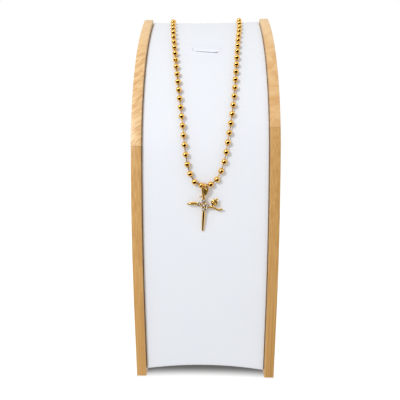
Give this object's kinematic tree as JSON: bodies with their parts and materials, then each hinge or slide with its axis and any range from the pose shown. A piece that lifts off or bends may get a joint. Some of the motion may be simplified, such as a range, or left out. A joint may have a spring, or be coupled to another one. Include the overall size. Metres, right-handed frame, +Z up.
{
  "type": "cross necklace on a display stand",
  "caption": "Gold ball-chain necklace with a small stone-set cross pendant, hung over a plain curved display stand with wooden sides and a padded board.",
  "frame": {"origin": "middle of the stand's footprint on the surface it stands on", "axes": "+Z up, -Y towards the front, +X to the right as seen from the front"},
  "size_m": [0.08, 0.078, 0.2136],
  "materials": {
    "wood": "smooth light wood with a fine upright grain, thinly lacquered",
    "leatherette": "white, softly satin",
    "gold": "polished yellow gold",
    "stone": "clear, cut and polished"
  },
  "bodies": {
    "root": {"side_panel_left": "wood", "side_panel_right": "wood", "padded_board": "leatherette", "chain_beads": "gold", "chain_pins": "gold", "chain_coupling": "gold", "jump_ring": "gold", "cross": "gold", "stone_top": "stone", "stone_left": "stone", "stone_centre": "stone", "stone_right": "stone", "stone_bottom": "stone"}
  },
  "joints": []
}
